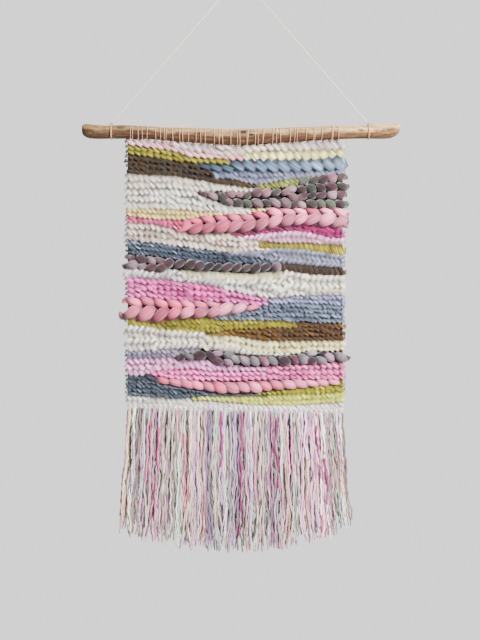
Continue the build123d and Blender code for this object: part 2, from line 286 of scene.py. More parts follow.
# Strands of another colour: distance from the left selvedge (mm), share of the length from and to, tone.
FRINGE_ACCENTS = [
    (12, 0.2, 0.7, LILAC), (31, 0.1, 0.6, PINK), (43, 0.15, 1.0, ROSE), (66, 0.0, 0.25, ROSE),
    (72, 0.2, 0.8, SALMON), (80, 0.65, 1.0, TAN), (96, 0.6, 1.0, TAN), (115, 0.0, 0.45, MAGENTA),
    (139, 0.0, 1.0, MAGENTA), (146, 0.75, 1.0, TAN), (152, 0.1, 0.9, LILAC), (161, 0.15, 0.7, PINK),
    (183, 0.05, 0.6, MAGENTA), (190, 0.5, 1.0, PINK), (206, 0.1, 0.5, PINK), (222, 0.4, 1.0, TAN),
    (234, 0.85, 1.0, ROSE), (237, 0.0, 0.7, MAGENTA), (243, 0.4, 0.9, MAGENTA), (258, 0.2, 0.7, PINK),
]
# The yarn of the first rows reaches up between the warp loops, towards the branch.
TOP_ROW_LIFT = {"white_top_row": 2.6 * MM, "pink_top_band": 1.6 * MM}


def linear(tone):
    """An sRGB tone of 0 to 255 as linear light."""
    c = np.asarray(tone, float) / 255
    return np.where(c <= 0.04045, c / 12.92, ((c + 0.055) / 1.055) ** 2.4)


def pigment(tones):
    """Yarn colours, a little fuller than they look once lit."""
    colour = linear(tones)
    grey = (colour * (0.3, 0.6, 0.1)).sum(-1, keepdims=True)
    return np.clip(grey + (colour - grey) * FULLNESS, 0.003, 1) ** DEPTH * BRIGHTNESS


def shaded(tints, front, low):
    """Painted shade: tints darkened where the yarn dives into the cloth between its front and its back,
    with painted light on its front and back.
    """
    amount = np.clip((np.abs(front) - DIVE_FROM) / DIVE_RANGE, 0, 1)
    return tints * (low + (DIVE_FRONT - low) * amount)[..., None]


def unit(v):
    return v / np.maximum(np.linalg.norm(v, axis=-1, keepdims=True), 1e-12)


def wander(count, knots, shape=()):
    """Smooth random values of about -1 to 1 along count steps, with a turn at each of the knots."""
    knots = max(int(knots), 2)
    marks = rng.uniform(-1, 1, (knots + 2,) + shape)
    t = np.linspace(0, knots, count)
    i = np.minimum(t.astype(int), knots)
    f = t - i
    f = (f * f * (3 - 2 * f)).reshape((-1,) + (1,) * len(shape))
    return marks[i] * (1 - f) + marks[np.minimum(i + 1, knots + 1)] * f


# ---- mesh building ----
class Strands:
    """Tubes collected into one mesh, with a tint at every vertex."""

    def __init__(self):
        self.points = []
        self.quads = []
        self.tints = []
        self.total = 0

    def add(self, paths, radius, tints, sides=5, groove=None, flat=1.0, contour=PAINTED_SIDE_SHADE):
        """Tubes of the same number of points: paths and tints are (tubes, points, 3), radius a number or
        (tubes, points), and groove, which scales it, (tubes, points, sides)."""
        paths = np.asarray(paths, float)
        count, length = paths.shape[:2]
        radius = np.broadcast_to(radius, (count, length)).copy()
        radius[:, 0] *= 0.15
        radius[:, -1] *= 0.15
        tangent = unit(np.gradient(paths, axis=1))
        side = np.empty_like(paths)
        side[:, 0] = unit(np.cross(tangent[:, 0], (0.13, 0.07, 1.0)))
        for i in range(1, length):
            along = (side[:, i - 1] * tangent[:, i]).sum(-1, keepdims=True)
            side[:, i] = unit(side[:, i - 1] - along * tangent[:, i])
        up = np.cross(tangent, side)
        angle = 2 * np.pi * np.arange(sides) / sides
        out = np.cos(angle)[:, None] * side[:, :, None] + np.sin(angle)[:, None] * up[:, :, None]
        reach = radius[:, :, None] * (1 if groove is None else groove)
        ring = paths[:, :, None] + reach[..., None] * out * (1, flat, 1)
        self.points.append(ring.reshape(-1, 3))
        tints = np.asarray(tints, float)
        if tints.ndim == 3:
            tints = tints[:, :, None]
        # Painted shade on a strand's sides, next to its neighbours, and painted light on its side facing
        # front or back.
        painted_facing_shade = contour + (PAINTED_FRONT_LIGHT - contour) * np.abs(out[..., 1:2]) ** 0.8
        self.tints.append((tints * painted_facing_shade).reshape(-1, 3))
        index = self.total + np.arange(count * length * sides).reshape(count, length, sides)
        a = index[:, :-1]
        b = np.roll(a, -1, axis=2)
        c = np.roll(index[:, 1:], -1, axis=2)
        d = index[:, 1:]
        self.quads.append(np.stack([a, b, c, d], axis=-1).reshape(-1, 4))
        self.total += count * length * sides

    def build(self, name, material):
        return grid_object(name, np.concatenate(self.points), np.concatenate(self.quads),
                           np.concatenate(self.tints), material)


def grid_object(name, points, quads, tints, material):
    """A smooth mesh object of quads with a tint at every vertex."""
    mesh = bpy.data.meshes.new(name)
    mesh.vertices.add(len(points))
    mesh.vertices.foreach_set("co", np.ascontiguousarray(points, np.float32).ravel())
    mesh.loops.add(4 * len(quads))
    mesh.loops.foreach_set("vertex_index", np.ascontiguousarray(quads, np.int32).ravel())
    mesh.polygons.add(len(quads))
    mesh.polygons.foreach_set("loop_start", np.arange(0, 4 * len(quads), 4, dtype=np.int32))
    mesh.update(calc_edges=True)
    mesh.polygons.foreach_set("use_smooth", np.ones(len(quads), bool))
    colour = mesh.color_attributes.new("tint", "FLOAT_COLOR", "POINT")
    rgba = np.ones((len(points), 4), np.float32)
    rgba[:, :3] = np.clip(tints, 0, 1)
    colour.data.foreach_set("color", rgba.ravel())
    mesh.materials.append(material)
    obj = bpy.data.objects.new(name, mesh)
    bpy.context.scene.collection.objects.link(obj)
    return obj


# ---- materials ----
def new_material(name, rough):
    material = bpy.data.materials.new(name)
    material.use_nodes = True
    shader = material.node_tree.nodes["Principled BSDF"]
    shader.inputs["Roughness"].default_value = rough
    return material, shader, material.node_tree.links


def add_node(material, kind, **inputs):
    """A new node with its inputs set; an underscore in a name stands for a space."""
    node = material.node_tree.nodes.new("ShaderNode" + kind)
    for name, value in inputs.items():
        node.inputs[name.replace("_", " ")].default_value = value
    return node


def fibre_material(name, rough, sheen, grain, bump, vary=0.16):
    """Yarn: the vertex tint, uneven as spun wool is, with a fine fibre bump and a soft sheen."""
    material, shader, links = new_material(name, rough)
    shader.inputs["Sheen Weight"].default_value = sheen
    shader.inputs["Sheen Roughness"].default_value = 0.5
    shader.inputs["Specular IOR Level"].default_value = 0.18
    place = add_node(material, "TexCoord")
    tint = add_node(material, "VertexColor")
    tint.layer_name = "tint"
    mottle = add_node(material, "TexNoise", Scale=grain * 0.3, Detail=3)
    links.new(place.outputs["Object"], mottle.inputs["Vector"])
    level = add_node(material, "MapRange", From_Min=0.3, From_Max=0.7,
                     To_Min=1 - vary, To_Max=1 + vary * 0.6)
    links.new(mottle.outputs["Fac"], level.inputs["Value"])
    shade = add_node(material, "VectorMath")
    shade.operation = "SCALE"
    links.new(tint.outputs["Color"], shade.inputs[0])
    links.new(level.outputs["Result"], shade.inputs["Scale"])
    links.new(shade.outputs["Vector"], shader.inputs["Base Color"])
    fibre = add_node(material, "TexNoise", Scale=grain, Detail=4)
    links.new(place.outputs["Object"], fibre.inputs["Vector"])
    relief = add_node(material, "Bump", Strength=bump, Distance=0.4 * MM)
    links.new(fibre.outputs["Fac"], relief.inputs["Height"])
    links.new(relief.outputs["Normal"], shader.inputs["Normal"])
    return material


def twine_material(tone):
    """Thin twine: a steady tone, mottled, with a fibre bump."""
    material = fibre_material("string_twine", 0.85, 0.15, 2500, 0.5)
    scale = material.node_tree.nodes["Vector Math"]
    for link in list(scale.inputs[0].links):
        material.node_tree.links.remove(link)
    scale.inputs[0].default_value = tuple(linear(tone))
    return material


def wood_material():
    """Weathered stick: the vertex tint with long grain lines, speckles and a dry surface."""
    material = fibre_material("weathered_wood", 0.78, 0.05, 900, 0.5, 0.25)
    nodes = material.node_tree.nodes
    links = material.node_tree.links
    shader = nodes["Principled BSDF"]
    stretch = add_node(material, "Mapping", Scale=(0.06, 1, 1))
    links.new(nodes["Texture Coordinate"].outputs["Object"], stretch.inputs["Vector"])
    grain = add_node(material, "TexNoise", Scale=700, Detail=6, Roughness=0.65)
    links.new(stretch.outputs["Vector"], grain.inputs["Vector"])
    ramp = add_node(material, "ValToRGB")
    dark, pale = ramp.color_ramp.elements
    dark.position = 0.36
    dark.color = (0.42, 0.36, 0.31, 1)
    pale.position = 0.62
    pale.color = (1.12, 1.1, 1.06, 1)
    links.new(grain.outputs["Fac"], ramp.inputs["Fac"])
    blend = add_node(material, "VectorMath")
    blend.operation = "MULTIPLY"
    links.new(shader.inputs["Base Color"].links[0].from_socket, blend.inputs[0])
    links.new(ramp.outputs["Color"], blend.inputs[1])
    links.new(blend.outputs["Vector"], shader.inputs["Base Color"])
    relief = add_node(material, "Bump", Strength=0.55, Distance=0.5 * MM)
    links.new(grain.outputs["Fac"], relief.inputs["Height"])
    links.new(shader.inputs["Normal"].links[0].from_socket, relief.inputs["Normal"])
    links.new(relief.outputs["Normal"], shader.inputs["Normal"])
    return material


def plain_material(name, colour, rough):
    """A studio surface with a faint mottle."""
    material, shader, links = new_material(name, rough)
    noise = add_node(material, "TexNoise", Scale=3)
    ramp = add_node(material, "ValToRGB")
    dark, pale = ramp.color_ramp.elements
    dark.color = tuple(c * 0.98 for c in colour) + (1,)
    pale.color = tuple(colour) + (1,)
    links.new(noise.outputs["Fac"], ramp.inputs["Fac"])
    links.new(ramp.outputs["Color"], shader.inputs["Base Color"])
    return material


# ---- camera and light ----
def make_camera():
    data = bpy.data.cameras.new("camera")
    data.lens = LENS
    data.sensor_fit = "VERTICAL"
    data.sensor_height = SENSOR
    camera = bpy.data.objects.new("camera", data)
    camera.location = (0, -VIEW_HEIGHT * LENS / SENSOR, VIEW_CENTRE_Z)
    camera.rotation_euler = (math.pi / 2, 0, 0)
    bpy.context.scene.collection.objects.link(camera)
    bpy.context.scene.camera = camera


def make_area_light(name, place, size, power):
    data = bpy.data.lights.new(name, "AREA")
    data.energy = power
    data.size = size
    light = bpy.data.objects.new(name, data)
    light.location = place
    light.rotation_euler = (Vector(LIGHT_TARGET) - Vector(place)).to_track_quat("-Z", "Y").to_euler()
    bpy.context.scene.collection.objects.link(light)


def make_surroundings():
    world = bpy.data.worlds.new("studio")
    world.use_nodes = True
    nodes = world.node_tree.nodes
    links = world.node_tree.links
    room = nodes["Background"]
    room.inputs["Color"].default_value = (0.98, 1.0, 1.02, 1)
    room.inputs["Strength"].default_value = ROOM_LIGHT
    backdrop = nodes.new("ShaderNodeBackground")
    backdrop.inputs["Color"].default_value = (1.0, 0.995, 0.985, 1)
    backdrop.inputs["Strength"].default_value = BACKDROP_LIGHT
    seen = nodes.new("ShaderNodeLightPath")
    mix = nodes.new("ShaderNodeMixShader")
    links.new(seen.outputs["Is Camera Ray"], mix.inputs["Fac"])
    links.new(room.outputs["Background"], mix.inputs[1])
    links.new(backdrop.outputs["Background"], mix.inputs[2])
    links.new(mix.outputs["Shader"], nodes["World Output"].inputs["Surface"])
    bpy.context.scene.world = world
    for light in LIGHTS:
        make_area_light(*light)
    signs = ((-1, -1), (1, -1), (1, 1), (-1, 1))
    corners = np.array([(x * FLOOR_HALF, y * FLOOR_HALF, FLOOR_Z) for x, y in signs])
    pale = plain_material("pale_floor", (0.72, 0.715, 0.7), 0.8)
    grid_object("floor", corners, np.array([[0, 1, 2, 3]]), np.ones((4, 3)), pale)


# ---- string ----
def make_string(material):
    curve = bpy.data.curves.new("hanging_string", "CURVE")
    curve.dimensions = "3D"
    curve.bevel_depth = STRING_DIAMETER / 2
    curve.bevel_resolution = 4
    curve.resolution_u = 24
    spline = curve.splines.new("NURBS")
    spline.points.add(len(STRING_ROUTE) - 1)
    for point, place in zip(spline.points, STRING_ROUTE):
        point.co = (*place, 1)
    spline.order_u = 3
    spline.use_endpoint_u = True
    curve.materials.append(material)
    string = bpy.data.objects.new("hanging_string", curve)
    bpy.context.scene.collection.objects.link(string)
    return string


# ---- branch ----
def surface_tree(mesh):
    """A mesh's surface, ready for casting rays."""
    return BVHTree.FromPolygons([v.co for v in mesh.vertices], [tuple(p.vertices) for p in mesh.polygons])


def branch_tools():
    """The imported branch's surface, ready for casting rays, and its two ends."""
    mesh = frame["nodes"]["branch"].data
    xs = [v.co.x for v in mesh.vertices]
    return surface_tree(mesh), min(xs), max(xs)


def branch_middle(tree, x):
    """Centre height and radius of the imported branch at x."""
    top = tree.ray_cast(Vector((x, AXIS_OFFSET, 0)), Vector((0, 0, -1)))[0]
    bottom = tree.ray_cast(Vector((x, AXIS_OFFSET, -0.3)), Vector((0, 0, 1)))[0]
    half = (top.z - bottom.z) / 2
    return (top.z + bottom.z) / 2, math.hypot(half, AXIS_OFFSET)


def blend_tones(tones, share):
    """The tone at a share of the way along a table of tones."""
    place = share * (len(tones) - 1)
    cell = min(int(place), len(tones) - 2)
    return tones[cell] + (tones[cell + 1] - tones[cell]) * (place - cell)


def make_branch(tree, low, high, material):
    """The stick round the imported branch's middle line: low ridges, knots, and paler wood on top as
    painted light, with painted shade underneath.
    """
    xs = low + (high - low) * (0.5 - 0.5 * np.cos(np.linspace(0, np.pi, ALONG)))
    xs = 0.25 * xs + 0.75 * np.linspace(low, high, ALONG)
    xs = np.clip(xs, low + 0.4 * MM, high - 0.4 * MM)
    angle = 2 * np.pi * np.arange(AROUND) / AROUND
    ridges = [(rng.integers(3, 15), rng.uniform(0, 6.28), rng.uniform(-9, 9), rng.uniform(0.03, 0.10))
              for _ in range(12)]
    lumps = wander(ALONG, 26, (6,))
    points = np.empty((ALONG, AROUND, 3))
    tints = np.empty((ALONG, AROUND, 3))
    under = pigment(PAINTED_SHADE_UNDER_TONES)
    over = pigment(PAINTED_LIGHT_OVER_TONES)
    blotches = wander(ALONG, 34, (8,))
    for i, x in enumerate(xs):
        centre, radius = branch_middle(tree, x)
        end_fade = min(1.0, min(x - low, high - x) / END_ROUNDING)
        tie_fade = min(1.0, max(0.0, (abs(abs(x) - TIE_X) - 2 * MM) / (5 * MM)))
        bump = np.zeros(AROUND)
        for order, phase, drift, size in ridges:
            bump += size * np.sin(order * angle + phase + drift * x * 6)
        bump += 0.22 * sum(lumps[i, k] * np.cos((k + 1) * angle + k) for k in range(6)) / 2
        bump *= MM * (0.25 + 0.75 * tie_fade) * end_fade
        bump -= TIE_HOLLOW * (1 - tie_fade)
        share = (x - low) / (high - low)
        # painted light on the upper side, painted shade on the underside
        turn = np.sin(angle) + 0.25 * blotches[i, 0] + 0.12 * np.sin(3 * angle + 4 * blotches[i, 1])
        upper = np.clip((turn + 0.15) / 0.55, 0, 1)[:, None]
        tone = blend_tones(under, share) * (1 - upper) + blend_tones(over, share) * upper
        patches_here = sum(blotches[i, k] * np.cos(k * angle + k) for k in range(2, 8)) / 2
        tone = tone * (1 + 0.16 * patches_here)[:, None]
        streaks = np.sin(7 * angle + 40 * x + 3 * lumps[i, 0])[:, None]
        tone = tone * (1 + 0.16 * streaks + 0.12 * lumps[i, 1])
        for place, round_at, size, pale in BRANCH_KNOTS:
            size = size * MM
            across = np.abs((angle - round_at + np.pi) % (2 * np.pi) - np.pi) * radius
            d = np.sqrt(((x - place * MM) / size) ** 2 + (across / (size * 0.52)) ** 2)
            core = np.exp(-(d * 1.1) ** 4)
            rim = np.exp(-((d - 1.35) / 0.35) ** 2)
            bump = bump + (0.45 * rim - 0.5 * core) * MM * min(1, size / (5 * MM)) * tie_fade
            dark = core[:, None] * (1 - pale * 0.35)
            tone = tone * (1 - dark) + linear(KNOT_TONE) * dark
            tone = tone * (1 - 0.25 * rim[:, None])
        reach = radius + bump
        points[i, :, 0] = x
        points[i, :, 1] = reach * np.cos(angle)
        points[i, :, 2] = centre + reach * np.sin(angle)
        tints[i] = tone
    index = np.arange(ALONG * AROUND).reshape(ALONG, AROUND)
    a = index[:-1]
    b = index[1:]
    quads = np.stack([a, b, np.roll(b, -1, 1), np.roll(a, -1, 1)], -1).reshape(-1, 4)
    points = points.reshape(-1, 3)
    tints = tints.reshape(-1, 3)
    for end, ring, turn in ((low, index[0], 1), (high, index[-1], -1)):
        total = len(points)
        middle = points[ring].mean(0)
        previous = ring
        for k, share in enumerate((0.72, 0.42, 0.14)):
            new = middle + (points[ring] - middle) * share
            new[:, 0] = end + turn * (0.25 - 0.1 * k) * MM
            points = np.concatenate([points, new])
            growth_ring = linear(END_TONE) * (0.9 + 0.12 * (k % 2))
            tints = np.concatenate([tints, np.repeat(growth_ring[None], AROUND, 0)])
            current = total + k * AROUND + np.arange(AROUND)
            inner, outer = (current, previous) if turn > 0 else (previous, current)
            collar = np.stack([inner, outer, np.roll(outer, -1), np.roll(inner, -1)], -1)
            quads = np.concatenate([quads, collar])
            previous = current
        for k in range(AROUND // 2 - 1):
            cap = [previous[k], previous[k + 1], previous[AROUND - 2 - k], previous[AROUND - 1 - k]]
            quads = np.concatenate([quads, np.array([cap if turn < 0 else cap[::-1]])])
    return grid_object("branch_stick", points, quads, tints, material)


def islands(mesh):
    """The separate pieces of a mesh, each as an array of its points. Faces that only touch are joined."""
    points = np.array([v.co for v in mesh.vertices])
    _, same = np.unique(np.round(points / (0.01 * MM)).astype(int), axis=0, return_inverse=True)
    same = same.ravel()
    owner = list(range(same.max() + 1))

    def root(i):
        while owner[i] != i:
            owner[i] = owner[owner[i]]
            i = owner[i]
        return i

    for edge in mesh.edges:
        a, b = edge.vertices
        owner[root(same[a])] = root(same[b])
    roots = np.array([root(i) for i in same])
    return [points[roots == r] for r in np.unique(roots)]


def make_loops(tree, material):
    """Thin warp loops over the branch, some of them doubled, down into the cloth."""
    strands = Strands()
    loops = islands(frame["nodes"]["warp_loops"].data)
    for place in sorted((p[:, 0].min() + p[:, 0].max()) / 2 for p in loops):
        for thread in range(2 if rng.uniform() < DOUBLED else 1):
            x0 = place + thread * SECOND_THREAD
            centre, radius = branch_middle(tree, x0)
            lean = rng.uniform(-0.4, 2.2) * MM
            under = centre - radius
            t = np.linspace(-1, 1, LOOP_POINTS)
            turn = t * LOOP_TURN
            ring = radius + LOOP_GAP
            path = np.empty((LOOP_POINTS, 3))
            path[:, 0] = x0 + lean * t + 0.35 * MM * np.sin(5 * t + thread * 3)
            path[:, 1] = ring * np.sin(turn)
            path[:, 2] = centre + ring * np.cos(turn)
            near = path[0, 0]
            far = path[-1, 0]
            front = np.array([[near, -0.8 * MM, under - 9 * MM], [near, -1.8 * MM, under - 4 * MM]])
            back = np.array([[far, 1.2 * MM, under - 4 * MM], [far, 0.5 * MM, under - 9 * MM]])
            path = np.concatenate([front, path, back])
            tint = np.repeat((pigment(LOOP_TONE) * rng.uniform(0.8, 1.06))[None], len(path), 0)
            strands.add(path[None], LOOP_RADIUS, tint[None], sides=6, contour=0.8)
    return strands.build("warp_loops_over_branch", material)


def make_tie(side, tree, material):
    """String round the branch in two close turns, a knot on top, and a short tail."""
    strands = Strands()
    place = side * TIE_X
    centre, radius = branch_middle(tree, place)
    ring = radius + 0.75 * MM
    top = centre + ring + 0.9 * MM
    t = np.linspace(0, 1, 150)
    turn = 2 * np.pi * 2 * t
    coil = np.stack([place + (t - 0.5) * 1.6 * MM, ring * np.sin(turn), centre + ring * np.cos(turn)], -1)
    k = np.linspace(0, 2 * np.pi, 60)
    knot = np.stack([
        place + 1.25 * MM * np.sin(2 * k),
        1.15 * MM * np.cos(3 * k),
        top + 1.1 * MM * np.sin(k),
    ], -1)
    s = np.linspace(0, 1, 16)
    tail = np.stack([
        place + side * (1 + 5 * s) * MM,
        -1.5 * MM - 1.5 * MM * s,
        top + (1.5 * np.sin(2.2 * s) - 1.5 * s) * MM,
    ], -1)
    for path, size in ((coil, 0.45), (knot, 0.6), (tail, 0.5)):
        tint = np.repeat(pigment(TIE_TONE)[None, None], len(path), 1)
        strands.add(path[None], size * MM, tint, sides=8)
    return strands.build("left_string_tie" if side < 0 else "right_string_tie", material)


# ---- weft ----
def surface_height(tree, x, start, way):
    """The height at which a ray going up or down from start meets a packed band."""
    return tree.ray_cast(Vector((x, 0.3 * MM, start)), Vector((0, 0, way)))[0].z


class Band:
    """The upper and lower edge of one packed weft band, as functions of X."""

    def __init__(self, name, lift=0):
        tree = surface_tree(frame["nodes"][name].data)
        near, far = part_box(name)
        self.low = max(near.x, CLOTH_LEFT)
        self.high = min(far.x, CLOTH_LEFT + CLOTH_WIDTH)
        steps = max(4, int((self.high - self.low) / EDGE_STEP))
        self.xs = np.linspace(self.low + 0.1 * MM, self.high - 0.1 * MM, steps)
        self.top = np.array([surface_height(tree, x, far.z + MM, -1) for x in self.xs]) + lift
        self.bottom = np.array([surface_height(tree, x, near.z - MM, 1) for x in self.xs])

    def edges(self, x):
        return np.interp(x, self.xs, self.top), np.interp(x, self.xs, self.bottom)


def tone_at(tones, share):
    """The band's colour at a share of its width."""
    table = pigment(tones)
    place = np.clip(share, 0, 1) * (len(table) - 1)
    i = np.minimum(place.astype(int), len(table) - 2)
    f = (place - i)[..., None]
    return table[i] * (1 - f) + table[i + 1] * f


def patches(tones, count, knots):
    """Tones that change from stitch to stitch, picked at random."""
    table = pigment(tones)
    marks = table[rng.integers(len(table), size=int(knots) + 3)]
    t = np.linspace(0, int(knots) + 1, count)
    i = t.astype(int)
    f = np.clip((t - i - 0.3) / 0.4, 0, 1)[:, None]
    return marks[i] * (1 - f) + marks[i + 1] * f


def strand_tints(tones, flecks, share, strands, stitches, patchy):
    """Colour along several strands: the band's tone, lighter and darker stitches, and flecks."""
    count = share.shape[-1]
    tints = np.empty((strands, count, 3))
    shared = 1 + 0.26 * wander(count, stitches * 1.8)
    for k in range(strands):
        own = 1 + 0.30 * wander(count, stitches * 1.4) + rng.uniform(-0.38, 0.20)
        tone = patches(tones + flecks, count, stitches) if patchy else tone_at(tones, share)
        fleck = pigment(flecks[rng.integers(len(flecks))])
        amount = np.clip(wander(count, stitches * 0.8) * 1.7 - 0.75, 0, 0.85)[:, None]
        tints[k] = (tone * (1 - amount) + fleck * amount) * (shared * own)[:, None]
    return tints


def row_spans(band, row_height, pitch):
    """Splits the band into stretches with a whole number of rows: (first X, last X, rows)."""
    steps = max(2, int(round((band.high - band.low) / pitch)))
    marks = np.linspace(band.low, band.high, steps + 1)
    middles = (marks[:-1] + marks[1:]) / 2
    top, bottom = band.edges(middles)
    rows = np.maximum(1, np.round((top - bottom) / row_height)).astype(int)
    spans = []
    start = 0
    for i in range(1, steps + 1):
        if i == steps or rows[i] != rows[start]:
            spans.append([marks[start], marks[i], rows[start]])
            start = i
    return spans


def lay_rows(strands, band, kind, lean, tones, flecks):
    """Soumak: each row of yarn goes forward over the front and back under behind, stitch after stitch."""
    pitch = kind.pitch * MM
    count = kind.strands
    for first, last, rows in row_spans(band, kind.row * MM, pitch):
        for row in range(rows):
            tilt = lean if lean else (1 if row % 2 else -1)
            turns = max(1, int(round((last - first) / pitch)))
            theta = np.linspace(-np.pi, np.pi * (2 * turns - 1) + 0.6, turns * STITCH_POINTS + 1)
            start = first - rng.uniform(0.2, 1.6) * MM
            end = last + rng.uniform(0.2, 1.6) * MM
            base = start + (end - start) * (theta + np.pi) / (2 * np.pi * turns)
            top, bottom = band.edges(base)
            height = (top - bottom) / rows
            middle = top - (row + 0.5) * height
            stitch = len(theta) / STITCH_POINTS
            loose = kind.loose
            reach = kind.reach * MM * (1 + 0.2 * loose * wander(len(theta), stitch))
            rise = kind.steep * height * (1 + 0.2 * loose * wander(len(theta), stitch))
            middle = middle + 0.07 * loose * height * wander(len(theta), stitch)
            base = base + 0.6 * loose * MM * wander(len(theta), stitch * 1.3)
            depth = kind.depth * MM * (1 + 0.22 * loose * wander(len(theta), stitch))
            front = np.cos(theta - 0.45)
            swing = np.sin(theta)
            line = np.stack([base + reach * swing, -depth * front, middle - tilt * rise * swing], -1)
            slope = np.arctan2(tilt * rise, reach + pitch / 4)
            across = np.stack([np.sin(slope), np.zeros_like(slope), np.cos(slope)], -1)
            group = pitch * np.abs(np.sin(slope)) + 0.22 * height * np.abs(np.cos(slope))
            size = np.clip(0.47 * group / count, 0.32 * MM, kind.radius * MM)
            paths = []
            for k in range(count):
                offset = k / (count - 1) - 0.5
                stray = 0.35 * loose * kind.radius * MM * wander(len(theta), stitch * 1.7, (3,))
                sway = offset * (1 + 0.15 * wander(len(theta), stitch))
                path = line + across * (group * (count - 1) / count * sway)[:, None] + stray
                path[:, 1] -= front * (1 - 4 * offset * offset) * 0.9 * size
                paths.append(path)
            share = (base - band.low) / (band.high - band.low)
            # Painted shade where the yarn dives into the cloth, lifted near the selvedges.
            selvedge = np.clip(1 - np.minimum(base - band.low, band.high - base) / SELVEDGE, 0, 1)
            lit = np.maximum(np.abs(front), 0.9 * selvedge)
            tints = shaded(strand_tints(tones, flecks, share, count, stitch, False), lit, kind.dark)
            tints[0] *= OUTER_SHADE
            tints[-1] *= LOWER_SHADE
            size = size * (1 + 0.16 * wander(len(theta), stitch * 2))
            strands.add(np.array(paths), size[None], tints, sides=STITCH_SIDES)


def lay_roving(strands, band, kind, lean, tones, flecks):
    """Unspun roving in big soft stitches; neighbouring rows lean against each other."""
    pitch = kind.pitch * MM
    angle = 2 * np.pi * np.arange(ROVING_SIDES) / ROVING_SIDES
    for first, last, rows in row_spans(band, kind.row * MM, pitch):
        for row in range(rows):
            tilt = lean if rows == 1 else (lean if row % 2 else -lean)
            turns = max(1, int(round((last - first) / pitch)))
            theta = np.linspace(-np.pi, np.pi * (2 * turns - 1) + 0.8, turns * ROVING_POINTS + 1)
            count = len(theta)
            start = first - rng.uniform(0.5, 3.0) * MM
            end = last + rng.uniform(0.5, 3.0) * MM
            base = start + (end - start) * (theta + np.pi) / (2 * np.pi * turns)
            top, bottom = band.edges(base)
            cut = np.linspace(0, 1, rows + 1)
            if rows == 2:
                cut[1] = kind.split
            height = (top - bottom) * (cut[row + 1] - cut[row])
            middle = top - (top - bottom) * (cut[row] + cut[row + 1]) / 2
            reach = kind.reach * MM * (1 + 0.25 * wander(count, turns))
            rise = kind.steep * height * (1 + 0.3 * wander(count, turns))
            front = np.cos(theta - 0.35)
            proud = kind.depth * MM * (1 + 0.5 * (row % 2 if rows > 1 else 0))
            line = np.stack([
                base + reach * np.sin(theta) + kind.stray * MM * wander(count, turns),
                -proud * front * (1 + 0.25 * wander(count, turns)),
                middle - tilt * rise * np.sin(theta) + 0.07 * height * wander(count, turns),
            ], -1)
            full = kind.neck + (1 - kind.neck) * np.abs(front) ** kind.blunt
            size = np.clip(0.50 * height, 1.6 * MM, kind.radius * MM) * full
            size = size * (1 + kind.uneven * wander(count, turns * 1.5))
            groove = np.ones((1, count, ROVING_SIDES))
            # Fibre streaks that follow the grooves: painted shade in each groove, painted light on each
            # ridge.
            streaks = np.ones((1, count, ROVING_SIDES, 1))
            for _ in range(ROVING_GROOVES):
                order = rng.integers(3, 18)
                phase = rng.uniform(0, 6.28) + 1.5 * wander(count, turns)[:, None]
                wave = np.sin(order * angle + phase)
                groove += 0.016 * wave[None]
                streaks += 0.05 * wave[None, :, :, None]
            share = (base - band.low) / (band.high - band.low)
            tint = strand_tints(tones, flecks, share, 1, turns, kind.patchy)
            # painted shade where the roving dives into the cloth
            tint = shaded(tint, front, ROVING_PAINTED_SHADE)[:, :, None] * streaks
            strands.add(line[None], size[None], tint, ROVING_SIDES, groove, flat=0.8, contour=0.55)


def make_painted_shade_ground(bands, material):
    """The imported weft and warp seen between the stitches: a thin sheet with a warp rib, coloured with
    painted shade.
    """
    columns = int(CLOTH_WIDTH / GROUND_CELL)
    rows = GROUND_ROWS
    xs = np.linspace(CLOTH_LEFT + 0.6 * MM, CLOTH_LEFT + CLOTH_WIDTH - 0.6 * MM, columns)
    top = np.full(columns, -1.0)
    bottom = np.full(columns, 0.0)
    for name, band in bands.items():
        inside = (xs >= band.low - MM) & (xs <= band.high + MM)
        t, b = band.edges(xs)
        t = t - TOP_ROW_LIFT.get(name, 0)
        top[inside] = np.maximum(top, t)[inside]
        bottom[inside] = np.minimum(bottom, b)[inside]
    top -= GROUND_INSET
    bottom += GROUND_INSET
    down = np.linspace(0, 1, rows)[:, None]
    z = top + (bottom - top) * down
    x = np.repeat(xs[None], rows, 0)
    # painted shade: dark where no band lies, each band's own colour darkened where one does
    tint = np.repeat(linear(GROUND_PAINTED_SHADE_TONE)[None, None], rows, 0).repeat(columns, 1)
    for name, band in bands.items():
        t, b = band.edges(x)
        inside = (x >= band.low - MM) & (x <= band.high + MM) & (z <= t + 0.5 * MM) & (z >= b - 0.5 * MM)
        share = (x - band.low) / (band.high - band.low)
        tint[inside] = tone_at(BANDS[name][2], share)[inside] * GROUND_SHADE
    rib = 0.35 * MM * np.cos(2 * np.pi * x / (4 * MM)) * np.cos(2 * np.pi * z / (6 * MM))
    front = np.stack([x, -0.55 * MM + rib, z], -1)
    back = np.stack([x, 0.55 * MM + rib, z], -1)
    index = np.arange(rows * columns).reshape(rows, columns)
    face = np.stack([index[:-1, :-1], index[1:, :-1], index[1:, 1:], index[:-1, 1:]], -1).reshape(-1, 4)
    shift = rows * columns
    edge = np.concatenate([index[0], index[1:, -1], index[-1, -2::-1], index[-2:0:-1, 0]])
    after = np.roll(edge, -1)
    rim = np.stack([edge, after, after + shift, edge + shift], -1)
    quads = np.concatenate([face, face[:, ::-1] + shift, rim])
    points = np.concatenate([front.reshape(-1, 3), back.reshape(-1, 3)])
    tints = np.concatenate([tint.reshape(-1, 3)] * 2)
    return grid_object("cloth_ground_painted_shade", points, quads, tints, material)


# ---- fringe ----
def tassels():
    """Every packed tassel: its section, X at the top, upper and lower end, and X at the tip."""
    found = []
    for section in range(1, 6):
        for points in islands(frame["nodes"][f"fringe_{section}"].data):
            top = points[:, 2].max()
            low = points[:, 2].min()
            head = points[points[:, 2] > top - 0.5 * MM, 0].mean()
            tip = points[points[:, 2] < low + 0.5 * MM, 0].mean()
            found.append((section, head, top, low, tip))
    return sorted(found, key=lambda t: t[1])


